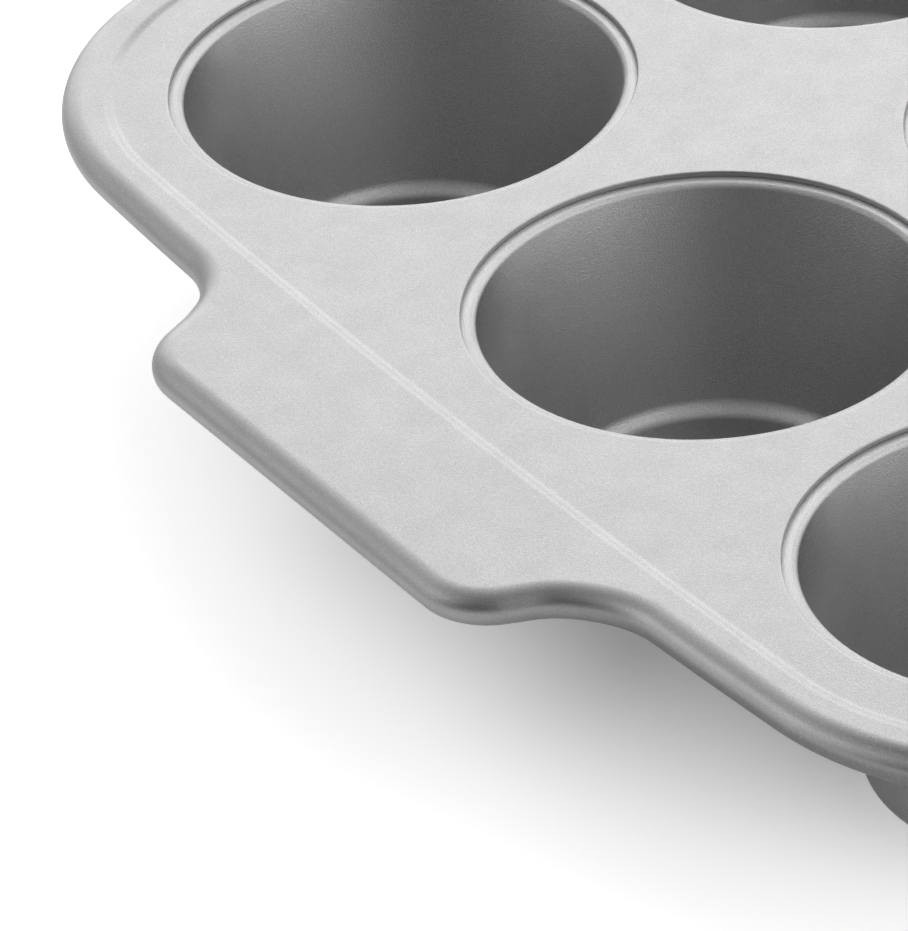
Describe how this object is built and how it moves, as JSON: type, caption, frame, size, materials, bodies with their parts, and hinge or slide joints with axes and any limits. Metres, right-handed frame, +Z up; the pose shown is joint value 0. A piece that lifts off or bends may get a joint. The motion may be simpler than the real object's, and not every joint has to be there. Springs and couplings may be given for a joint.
{
  "type": "muffin pan",
  "caption": "Rectangular muffin pan with deep tapered cups seamed into a flat sheet, a wired rolled edge and a handle tab at each short end.",
  "frame": {"origin": "on the table under the middle of the pan: the undersides of the cups are at z 0", "axes": "+X along the long side, towards one handle tab; +Y along the short side; +Z up, out of the cups' mouths"},
  "size_m": [0.4074, 0.2808, 0.0386],
  "materials": {
    "deck_coating": "fine metallic grey non-stick coating, satin",
    "cup_coating": "fine metallic grey non-stick coating, satin",
    "wire_steel": "drawn steel wire"
  },
  "bodies": {
    "root": {"deck_sheet": "deck_coating", "rim_wire": "wire_steel", "cup_row1_col1": "cup_coating", "cup_row1_col2": "cup_coating", "cup_row1_col3": "cup_coating", "cup_row1_col4": "cup_coating", "cup_row2_col1": "cup_coating", "cup_row2_col2": "cup_coating", "cup_row2_col3": "cup_coating", "cup_row2_col4": "cup_coating", "cup_row3_col1": "cup_coating", "cup_row3_col2": "cup_coating", "cup_row3_col3": "cup_coating", "cup_row3_col4": "cup_coating"}
  },
  "joints": []
}
